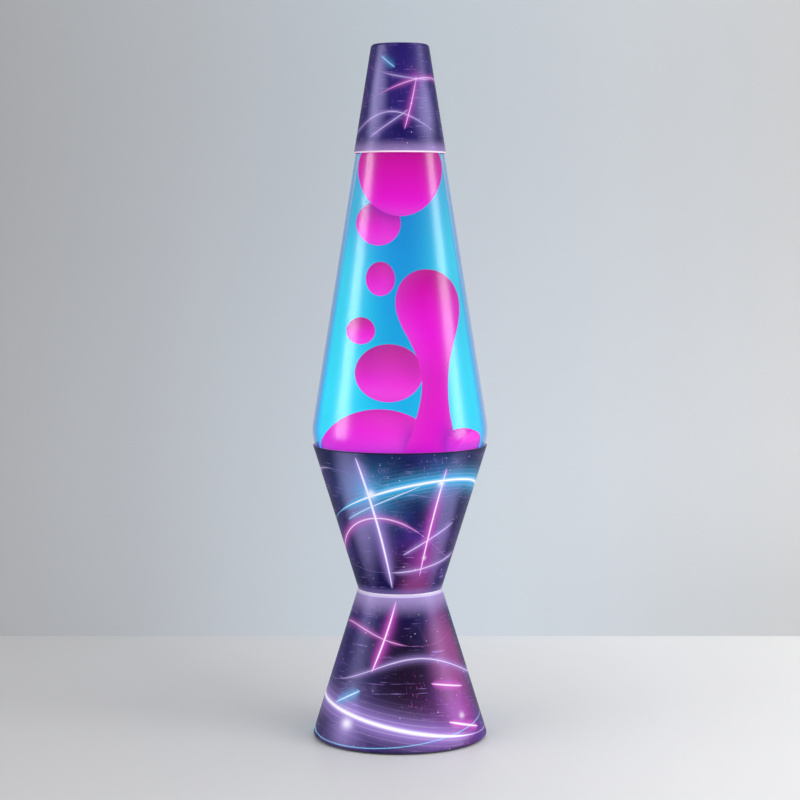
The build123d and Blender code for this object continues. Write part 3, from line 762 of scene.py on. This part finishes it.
def glassMaterial(name, edge, roughness, bendIndex):
    made, pen, out = newMaterial(name)
    inside = pen.node("ShaderNodeNewGeometry", output="Backfacing")
    bend = pen.node("ShaderNodeFresnel", None, {"IOR": bendIndex}) * (1 - inside)
    slant = pen.node("ShaderNodeLayerWeight", None, {"Blend": 0.5}, "Facing")
    clear = pen.node("ShaderNodeBsdfTransparent")
    tinted = pen.node("ShaderNodeBsdfTransparent", None, {"Color": ink(edge)})
    share = slant.ease(*edgeOn) * (1 - inside)
    through = pen.node("ShaderNodeMixShader", None, {0: share, 1: clear, 2: tinted})
    shine = pen.node("ShaderNodeBsdfAnisotropic", None, {"Color": (1, 1, 1, 1), "Roughness": roughness})
    finishMaterial(pen, out, pen.node("ShaderNodeMixShader", None, {0: bend, 1: through, 2: shine}))
    return made


def bottleOutline():
    rise = (bottle["bellyR"] - bottle["footR"]) / (bottle["bellyZ"] - bottle["footZ"])
    taper = (bottle["bellyR"] - bottle["shoulderR"]) / (bottle["shoulderZ"] - bottle["bellyZ"])
    run, floorZ = bottle["run"], bottle["footZ"] + bottle["floor"]
    insideR = bottle["bellyR"] - run
    underZ = bottle["shoulderZ"] - run / 2
    inner = bottle["inner"]
    outside = roundCorners(
        [
            (0, bottle["footZ"]),
            (bottle["footR"], bottle["footZ"]),
            (bottle["bellyR"], bottle["bellyZ"]),
            (bottle["shoulderR"], bottle["shoulderZ"]),
            (bottle["neckR"], bottle["neckZ"]),
            (bottle["neckR"], bottle["finishZ"]),
            (bottle["finishR"], bottle["finishZ"] + bottle["finishBevel"]),
            (bottle["finishR"], bottle["topZ"] - bottle["finishBevel"]),
            (bottle["finishR"] - bottle["finishBevel"], bottle["topZ"]),
            (bottle["boreR"], bottle["topZ"]),
        ],
        [0, bottle["heel"], bottle["belly"], bottle["shoulder"], bottle["neck"], 0, 0, 0, 0, 0],
        bottle["steps"],
    )
    inside = roundCorners(
        [
            (bottle["boreR"], bottle["neckZ"]),
            (insideR - taper * (underZ - bottle["bellyZ"]), underZ),
            (insideR, bottle["bellyZ"]),
            (bottle["footR"] + rise * bottle["floor"] - run, floorZ),
            (0, floorZ),
        ],
        [0, bottle["shoulder"] - inner, bottle["belly"] - inner, bottle["heel"] - inner, 0],
        bottle["steps"],
    )
    return outside + inside


clearGlass = glassMaterial("clearGlass", bottle["edge"], bottle["roughness"], bottle["bend"])
addPiece(
    "bottleBody",
    lathe("bottleBody", bottleOutline(), bottle["sides"]),
    clearGlass,
    "bottle",
    "bottle_glass",
)

liquid = {
    "footR": 34.93,
    "footZ": 131.13,
    "bellyR": 45.08,
    "bellyZ": 163.75,
    "topR": 18.35,
    "topZ": 329.55,
    "heel": 3.0,
    "belly": 22.0,
    "steps": 14,
    "sides": 160,
    "deep": "#007DC0",  # where much of it is looked through
    "deepBulbLit": "#0080C2",  # the same, painted as lit by the bulb below
    "shallow": "#38BED4",
    "shallowBulbLit": "#22E4EA",
    "low": (0.30, 0.17),  # painted light of the bulb: the lower tones come in from this height to this
    "clouds": 9.0,
    "drift": 0.3,
    "slant": (-0.12, 0.36),  # and the shallow ones as its far side turns away
    "slantLow": (0.25, 0.16),  # painted light of the bulb: sooner from this height to this
    "slantLift": 0.07,
    "paintedGlow": 0.76,
    "matt": 0.55,
}


def liquidMaterial():
    made, pen, out = newMaterial("blueLiquid")
    coords = pen.node("ShaderNodeTexCoord", output=3)
    cloud = noise(pen, coords, liquid["clouds"], 2.0)
    rise = objectHeight(pen, coords)
    paintedBulbShare = rise.ease(*liquid["low"]) + (cloud - 0.5) * liquid["drift"]

    # painted glow: the liquid shines though it is no lamp, and its lower tones are painted as lit by the
    # bulb
    def fluid(high, low):
        sockets = {
            "Base Color": paintedBulbShare.blend(ink(high, liquid["matt"]), ink(low, liquid["matt"])),
            "Roughness": 0.9,
            "Specular IOR Level": 0.0,
            "Emission Color": paintedBulbShare.blend(ink(high), ink(low)),
            "Emission Strength": liquid["paintedGlow"],
        }
        return principled(pen, sockets)

    slant = pen.node("ShaderNodeLayerWeight", None, {"Blend": 0.5}, "Facing")
    lift = rise.ease(*liquid["slantLow"]) * liquid["slantLift"]
    deep = fluid(liquid["deep"], liquid["deepBulbLit"])
    shallow = fluid(liquid["shallow"], liquid["shallowBulbLit"])
    share = (slant + lift).ease(*liquid["slant"])
    body = pen.node("ShaderNodeMixShader", None, {0: share, 1: deep, 2: shallow})
    # only its far side is seen, and it casts no shadow
    clear = pen.node("ShaderNodeBsdfTransparent")
    shadow = pen.node("ShaderNodeLightPath", output="Is Shadow Ray")
    lit = pen.node("ShaderNodeMixShader", None, {0: shadow, 1: body, 2: clear})
    inside = pen.node("ShaderNodeNewGeometry", output="Backfacing")
    finishMaterial(pen, out, pen.node("ShaderNodeMixShader", None, {0: inside, 1: clear, 2: lit}))
    return made


blueLiquid = liquidMaterial()
liquidOutline = roundCorners(
    [
        (0, liquid["footZ"]),
        (liquid["footR"], liquid["footZ"]),
        (liquid["bellyR"], liquid["bellyZ"]),
        (liquid["topR"], liquid["topZ"]),
        (0, liquid["topZ"]),
    ],
    [0, liquid["heel"], liquid["belly"], 0, 0],
    liquid["steps"],
)
liquidMesh = lathe("liquidBody", liquidOutline, liquid["sides"])
addPiece("liquidBody", liquidMesh, blueLiquid, "bottle", "liquid")

wax = {
    "tones": ("#BE0082", "#E000AC", "#FA08D0", "#FF38E2"),  # painted light and shade, from facing up, darkest, to facing down toward the bulb, brightest
    "toneStep": 0.3125,
    "toneStart": 0.03,
    "pale": "#EA78DC",  # seen through much of the liquid
    "shade": "#7C1CB4",  # where two forms come close
    "paleShare": 0.16,
    "shadeShare": 0.6,
    "shadeReach": 4.5,
    # painted glow: the wax shines though it is no lamp
    "paintedGlow": 0.8,
    "matt": 0.28,
    "clouds": 35.0,
    "drift": 0.12,
    "lit": {"from": 195.0, "over": 40.0, "most": 0.42},  # painted light: the bulb brightens the low wax
    "lift": {"crown": -0.2, "left": 0.16, "right": 0.16},  # and these are painted darker or brighter still
    "pales": (0.7, 0.4),  # paler within this share of the bottle's radius, over this much of it
    "gap": 0.12,  # between wax and glass
    "sides": 96,
    # x, y, z of the widest level; half width, half depth, rise, fall
    "drops": {
        "crown": (0, 0, 303.05, 22.1, 22.1, 22.0, 24.4),
        "tucked": (-11.5, 9.2, 274.9, 11.9, 11.9, 11.6, 11.8),
        "slim": (-10.4, 4.0, 245.4, 7.8, 7.8, 9.1, 9.1),
        "side": (-20.8, -2.0, 218.1, 7.6, 7.6, 7.2, 7.2),
        "broad": (-6.0, 10.9, 194.6, 18.3, 18.3, 15.6, 15.6),
    },
    "mounds": {
        "left": (-11.4, 9.0, 151.0, 32.5, 29.0, 24.2, 8.0),
        "right": (33.5, -20.0, 153.5, 14.2, 14.0, 14.5, 6.0),
    },
    # height, x and y of the middle, radius
    "column": (
        (151.5, 17.2, -19.0, 17.5),
        (154.0, 17.2, -18.0, 16.0),
        (162.0, 17.3, -15.6, 12.3),
        (170.4, 17.6, -13.4, 9.6),
        (181.0, 18.2, -11.0, 7.5),
        (190.7, 18.5, -9.4, 6.9),
        (201.0, 18.1, -8.0, 8.0),
        (212.0, 16.9, -6.8, 11.4),
        (221.0, 15.6, -6.0, 14.9),
        (229.5, 14.6, -5.5, 16.75),
        (237.0, 14.2, -5.2, 16.3),
        (243.5, 14.0, -5.0, 13.6),
        (248.0, 13.9, -5.0, 9.2),
        (250.2, 13.9, -5.0, 4.4),
        (250.7, 13.9, -5.0, 0.0),
    ),
    "poolZ": 154.7,
}
# What each point of the wax carries: painted brightness from the bulb below, nearness to the axis,
# nearness to another form for painted shade
waxKeys = ("waxGlow", "waxDepth", "waxShade")


def waxMaterial():
    made, pen, out = newMaterial("magentaWax")
    paintedGlow, depth, shade = (
        pen.node("ShaderNodeAttribute", {"attribute_name": key}, output="Fac") for key in waxKeys
    )
    coords = pen.node("ShaderNodeTexCoord", output=3)
    cloud = noise(pen, coords, wax["clouds"], 2.0)
    level = paintedGlow + (cloud - 0.5) * wax["drift"]
    places = [k * wax["toneStep"] + wax["toneStart"] for k in range(len(wax["tones"]))]
    stops = list(zip(places, map(ink, wax["tones"])))
    tone = pen.node("ShaderNodeValToRGB", {"stops": stops}, {0: level})
    tone = (depth * wax["paleShare"]).blend(tone, ink(wax["pale"]))
    tone = (shade * wax["shadeShare"]).blend(tone, ink(wax["shade"]))
    matt = pen.node("ShaderNodeMix", {"data_type": "RGBA"}, {0: wax["matt"], 6: black, 7: tone}, 2)
    sockets = {
        "Base Color": matt,
        "Roughness": 0.55,
        "Specular IOR Level": 0.0,
        "Emission Color": tone,
        "Emission Strength": wax["paintedGlow"],
    }
    finishMaterial(pen, out, principled(pen, sockets))
    return made


magentaWax = waxMaterial()


def roomAt(height):
    # inner radius of the bottle at a height, all in millimetres
    if height > liquid["bellyZ"]:
        taper = (liquid["bellyR"] - liquid["topR"]) / (liquid["topZ"] - liquid["bellyZ"])
        return liquid["bellyR"] - taper * (height - liquid["bellyZ"]) - wax["gap"]
    rise = (liquid["bellyR"] - liquid["footR"]) / (liquid["bellyZ"] - liquid["footZ"])
    return liquid["bellyR"] - rise * (liquid["bellyZ"] - height) - wax["gap"]


def waxForm(levels):
    # rings of (height, x, y, half width, half depth), closed at both ends and kept off the glass
    shape = bmesh.new()
    rings = []
    for height, x, y, wide, deep in levels:
        if wide < 1e-3:
            rings.append([shape.verts.new((x * mm, y * mm, height * mm))])
            continue
        ring = []
        room = roomAt(height)
        for k in range(wax["sides"]):
            turn = 2 * pi * k / wax["sides"]
            spot = Vector((x + wide * cos(turn), y + deep * sin(turn)))
            if spot.length > room:
                spot *= room / spot.length
            ring.append(shape.verts.new((spot.x * mm, spot.y * mm, height * mm)))
        rings.append(ring)
    for low, high in zip(rings, rings[1:]):
        skin(shape, low, high)
    bmesh.ops.recalc_face_normals(shape, faces=shape.faces)
    return shape


def dropLevels(place, steps=20):
    x, y, z, wide, deep, rise, fall = place
    levels = []
    for k in range(2 * steps + 1):
        swing = pi * (k / (2 * steps) - 0.5)
        height = rise if swing > 0 else fall
        share = cos(swing) if 0 < k < 2 * steps else 0.0
        levels.append((z + height * sin(swing), x, y, wide * share, deep * share))
    return levels


def columnLevels(steps=5):
    # a smooth run through the column's rings, closed at its foot
    points = wax["column"]
    levels = [(*points[0][:3], 0.0, 0.0)]
    last = len(points) - 1
    for i in range(last):
        around = [points[min(max(i + k, 0), last)] for k in (-1, 0, 1, 2)]
        for k in range(steps):
            t = k / steps
            mixed = [
                a * (-t + 2 * t**2 - t**3) / 2
                + b * (2 - 5 * t**2 + 3 * t**3) / 2
                + c * (t + 4 * t**2 - 3 * t**3) / 2
                + d * (t**3 - t**2) / 2
                for a, b, c, d in zip(*around)
            ]
            levels.append((*mixed, mixed[3]))
    return [*levels, (*points[-1][:3], 0.0, 0.0)]


def poolLevels(steps=12):
    # the wax that fills the foot of the bottle
    low, high = liquid["footZ"] + wax["gap"], wax["poolZ"]
    heights = [low + (high - low) * k / steps for k in range(steps + 1)]
    rings = [(height, 0, 0, roomAt(height), roomAt(height)) for height in heights]
    return [(low, 0, 0, 0.0, 0.0), *rings, (heights[-1], 0, 0, 0.0, 0.0)]


def waxPiece(name, forms, node):
    mesh = bpy.data.meshes.new(name)
    whole = bmesh.new()
    for form in forms.values():
        part = bpy.data.meshes.new(name + "Part")
        form.to_mesh(part)
        whole.from_mesh(part)
        bpy.data.meshes.remove(part)
    whole.to_mesh(mesh)
    whole.free()
    addPiece(name, mesh, magentaWax, "bottle", node, 50.0)
    for key in waxKeys:
        mesh.attributes.new(key, "FLOAT", "POINT")
    paintedLights, depths, shades = (mesh.attributes[key].data for key in waxKeys)
    trees = {key: BVHTree.FromBMesh(form) for key, form in allForms.items()}
    lit, (paleFrom, paleOver) = wax["lit"], wax["pales"]
    owners = [key for key, form in forms.items() for _ in form.verts]
    for vertex, owner in zip(mesh.vertices, owners):
        height = vertex.co.z / mm
        share = vertex.co.xy.length / (roomAt(height) * mm)
        near = min(trees[key].find_nearest(vertex.co)[3] for key in trees if key != owner)
        lift = lit["most"] * min(1.0, max(0.0, (lit["from"] - height) / lit["over"]))
        lift += wax["lift"].get(owner, 0.0)
        # painted light: brighter where the wax faces down and low down near the bulb
        paintedLights[vertex.index].value = 0.5 - 0.5 * vertex.normal.z + lift
        depths[vertex.index].value = min(1.0, max(0.0, (paleFrom - share) / paleOver))
        shades[vertex.index].value = exp(-near / (wax["shadeReach"] * mm))


dropForms = {key: waxForm(dropLevels(place)) for key, place in wax["drops"].items()}
poolForms = {key: waxForm(dropLevels(place)) for key, place in wax["mounds"].items()}
poolForms["column"] = waxForm(columnLevels())
poolForms["pool"] = waxForm(poolLevels())
allForms = {**dropForms, **poolForms}
waxPiece("waxDrops", dropForms, "wax_floats")
waxPiece("waxPool", poolForms, "wax_pool")
for form in allForms.values():
    form.free()
print("glass, liquid and wax done")

# Trim and fittings

# material, tone, darker tone, metallic, roughness
fittings = {
    "waist_ring": ("brightTrim", "#E6DDF0", "#CDBFE0", 0.0, 0.25),
    "heat_coil": ("coilWire", "#B9BCC2", "#8E9197", 1.0, 0.3),
    "crown_cap": ("crownSteel", "#D8DADD", "#B4B7BC", 1.0, 0.28),
    "crown_liner": ("linerPlastic", "#D9D6CE", "#C4C0B6", 0.0, 0.5),
    "bulb_cap": ("bulbCapMetal", "#C9CBCD", "#A3A6AA", 1.0, 0.32),
    "bulb_contact": ("solder", "#B9BBBE", "#8D9094", 1.0, 0.45),
    "bulb_insulator": ("blackGlass", "#17141C", "#241E2C", 0.0, 0.15),
    "bulb_filament": ("filamentWire", "#6A6660", "#3F3C38", 1.0, 0.5),
    "bulb_leads": ("leadWire", "#B98A5A", "#8C6238", 1.0, 0.35),
    "socket_body": ("phenolic", "#2A1B14", "#1B110C", 0.0, 0.35),
    "socket_shell": ("shellBrass", "#D2A85A", "#A67F3A", 1.0, 0.3),
    "socket_contact": ("springBrass", "#D6AE62", "#A98342", 1.0, 0.3),
    "terminal_screws": ("screwBrass", "#CFA556", "#9C7837", 1.0, 0.33),
    "socket_bracket": ("zincStrap", "#C3C6CA", "#989CA2", 1.0, 0.38),
    "waist_screws": ("zincScrews", "#C8CBCF", "#9DA1A7", 1.0, 0.33),
    "waist_nuts": ("zincNuts", "#C3C6CA", "#989CA2", 1.0, 0.36),
    "lock_nuts": ("zincLockNuts", "#C3C6CA", "#989CA2", 1.0, 0.36),
    "plate_washer": ("zincWasher", "#C0C3C7", "#94989E", 1.0, 0.38),
    "nipple": ("nippleBrass", "#CBA257", "#98753A", 1.0, 0.35),
    "bottom_plate": ("plateZinc", "#A9ADB3", "#878B92", 1.0, 0.42),
    "rubber_feet": ("footRubber", "#1A1A1D", "#26262A", 0.0, 0.75),
    "cord_grommet": ("grommetRubber", "#141416", "#222226", 0.0, 0.7),
}
for node, facts in fittings.items():
    dress(node, wearMaterial(*facts))

# Threads, wire and screws

fine = 8  # rings to a turn of thread


def threadPiece(node, name, outline, sides, thread, body):
    material = nodes[node].material_slots[0].material
    addPiece(name, lathe(name, outline, sides, thread), material, body, node, 50.0)


bulbCap = {
    "outerR": 8.3,
    "innerR": 8.0,
    "holeR": 6.4,  # of its floor
    "floorR": 7.3,
    "floorInnerR": 7.15,
    "floor": 0.3,
    "heel": 1.0,
    "innerHeel": 1.15,
    "pitch": 25.4 / 9,
    "depth": 0.55,
    "plainLow": 1.2,  # no thread below this
    "plainHigh": 0.8,  # nor above this, down from the top
    "sides": 96,
}


def capOutline(low, high):
    # thin cap, open at the top, with a hole in its floor
    step = bulbCap["pitch"] / fine
    return [
        (bulbCap["holeR"], low),
        (bulbCap["floorR"], low),
        *[(bulbCap["outerR"], z) for z in evenSteps(low + bulbCap["heel"], high, step)],
        *[(bulbCap["innerR"], z) for z in evenSteps(high, low + bulbCap["innerHeel"], step)],
        (bulbCap["floorInnerR"], low + bulbCap["floor"]),
        (bulbCap["holeR"], low + bulbCap["floor"]),
    ]


low, high = (corner.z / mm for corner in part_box("bulb_cap"))
capThread = {
    "fromR": bulbCap["innerR"],
    "toR": bulbCap["outerR"],
    "fromZ": low + bulbCap["plainLow"],
    "toZ": high - bulbCap["plainHigh"],
    "pitch": bulbCap["pitch"],
    "depth": bulbCap["depth"],
}
outline = capOutline(low, high)
threadPiece("bulb_cap", "capThread", outline, bulbCap["sides"], capThread, "bulb")

nipple = {
    "boreR": 3.4,
    "endR": 4.5,
    "outerR": 4.9,
    "bevel": 0.4,
    "pitch": 1.0,
    "depth": 0.32,
    "plain": 0.5,  # no thread this near its ends
    "sides": 64,
}
low, high = (corner.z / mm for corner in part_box("nipple"))
heights = evenSteps(low + nipple["bevel"], high - nipple["bevel"], nipple["pitch"] / fine)
outline = [
    (nipple["boreR"], low),
    (nipple["endR"], low),
    *[(nipple["outerR"], z) for z in heights],
    (nipple["endR"], high),
    (nipple["boreR"], high),
]
nippleThread = {
    "fromR": nipple["outerR"],
    "toR": nipple["outerR"],
    "fromZ": low + nipple["plain"],
    "toZ": high - nipple["plain"],
    "pitch": nipple["pitch"],
    "depth": nipple["depth"],
}
threadPiece("nipple", "nippleThread", outline, nipple["sides"], nippleThread, "base")
print("threads done")

# In these trees each size of the dictionary is an input
coil = {"Ring": 27.0 * mm, "Rise": 134.33 * mm, "Coil": 2.75 * mm, "Wire": 0.42 * mm, "Turns": 92}
points = coil["Turns"] * 14  # fourteen to a turn of the wire
pen, size = newTree("wireCoil", coil)
ring = pen.node("GeometryNodeCurvePrimitiveCircle", {"mode": "RADIUS"}, {"Resolution": points})
around = pen.node("GeometryNodeInputIndex") * (2 * pi / points)
wound = around * size["Turns"]
far = size["Ring"] + pen.maths("COSINE", wound) * size["Coil"]
spot = pen.vector(
    far * pen.maths("COSINE", around),
    far * pen.maths("SINE", around),
    size["Rise"] + pen.maths("SINE", wound) * size["Coil"],
)
path = pen.node("GeometryNodeSetPosition", None, {"Geometry": ring, "Position": spot})
section = {"Resolution": 8, "Radius": size["Wire"]}
profile = pen.node("GeometryNodeCurvePrimitiveCircle", {"mode": "RADIUS"}, section)
wire = pen.node("GeometryNodeCurveToMesh", None, {"Curve": path, "Profile Curve": profile})
coilMetal = nodes["heat_coil"].material_slots[0].material
mesh = grow(pen, wire, "wireCoil", coil, coilMetal)
addPiece("wireCoil", mesh, coilMetal, "bottle", "heat_coil", 80.0)


def moved(pen, geometry, place, turn):
    settings = {0: geometry, "Translation": place, "Rotation": turn}
    return pen.node("GeometryNodeTransform", None, settings)


def slottedScrews(name, sizes):
    # two screws with slotted heads, each with its head outwards, half a turn apart
    pen, size = newTree(name, sizes)
    cone = {"Radius Top": size["HeadTop"], "Radius Bottom": size["HeadR"], "Depth": size["HeadH"]}
    head = pen.node("GeometryNodeMeshCone", None, {"Vertices": 48, **cone})
    blade = pen.vector(size["HeadR"] * 3, size["SlotW"], size["SlotD"] * 2)
    cutter = pen.node("GeometryNodeMeshCube", None, {"Size": blade})
    raised = moved(pen, cutter, pen.vector(z=size["HeadH"]), pen.vector(z=size["Twist"]))
    slotted = pen.node("GeometryNodeMeshBoolean", {"operation": "DIFFERENCE"}, {0: head, 1: raised})
    rod = {"Vertices": 32, "Radius": size["ShankR"], "Depth": size["ShankH"]}
    shank = pen.node("GeometryNodeMeshCylinder", None, rod)
    sunk = moved(pen, shank, pen.vector(z=size["Lap"] - size["ShankH"] / 2), pen.vector())
    screw = pen.tree.nodes.new("GeometryNodeJoinGeometry")
    for part in (slotted, sunk):
        pen.tree.links.new(part.socket, screw.inputs[0])
    whole = Wire(pen.tree, screw.outputs[0])
    tipped = moved(pen, whole, pen.vector(size["Reach"], 0.0, size["Rise"]), pen.vector(y=size["Tip"]))
    middle = pen.node("GeometryNodeMeshLine", {"mode": "OFFSET"}, {"Count": 2, "Offset": (0, 0, 0)})
    turned = pen.vector(z=pen.node("GeometryNodeInputIndex") * pi + size["Turn"])
    placed = {"Points": middle, "Instance": tipped, "Rotation": turned}
    return pen, pen.node("GeometryNodeInstanceOnPoints", None, placed)


low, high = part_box("waist_screws")
waistScrew = {
    "HeadR": 2.7 * mm,
    "HeadTop": 2.32 * mm,
    "HeadH": 1.8 * mm,
    "SlotW": 0.6 * mm,
    "SlotD": 0.8 * mm,
    "ShankR": 1.45 * mm,
    "ShankH": high.z - low.z - 1.6 * mm,
    "Lap": 0.2 * mm,  # of the shank into the head
    "Reach": 18.2 * mm,
    "Rise": high.z - 1.8 * mm,
    "Tip": 0.0,
    "Twist": 0.6,
    "Turn": 0.0,
}
low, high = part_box("terminal_screws")
terminalScrew = {
    "HeadR": 2.8 * mm,
    "HeadTop": 2.6 * mm,
    "HeadH": 1.6 * mm,
    "SlotW": 0.7 * mm,
    "SlotD": 0.7 * mm,
    "ShankR": 1.3 * mm,
    "ShankH": 3.4 * mm,
    "Lap": 0.2 * mm,
    "Reach": 10.0 * mm,
    "Rise": (low.z + high.z) / 2,
    "Tip": pi / 2,
    "Twist": 0.4,
    "Turn": pi / 2,
}
for node, name, sizes, slot in (
    ("waist_screws", "waistScrew", waistScrew, "zinc_steel"),
    ("terminal_screws", "terminalScrew", terminalScrew, "brass"),
):
    pen, pair = slottedScrews(name, sizes)
    material = nodes[node].material_slots[0].material
    addPiece(name, grow(pen, pair, name, sizes, material), material, "base", node, 30.0)
print("wire coil and screws done")

bulbGlass = glassMaterial("bulbGlass", "#E8F0F4", 0.03, 1.5)
dress("bulb_glass", bulbGlass)
dress("bulb_stem", bulbGlass)
print("fittings done")
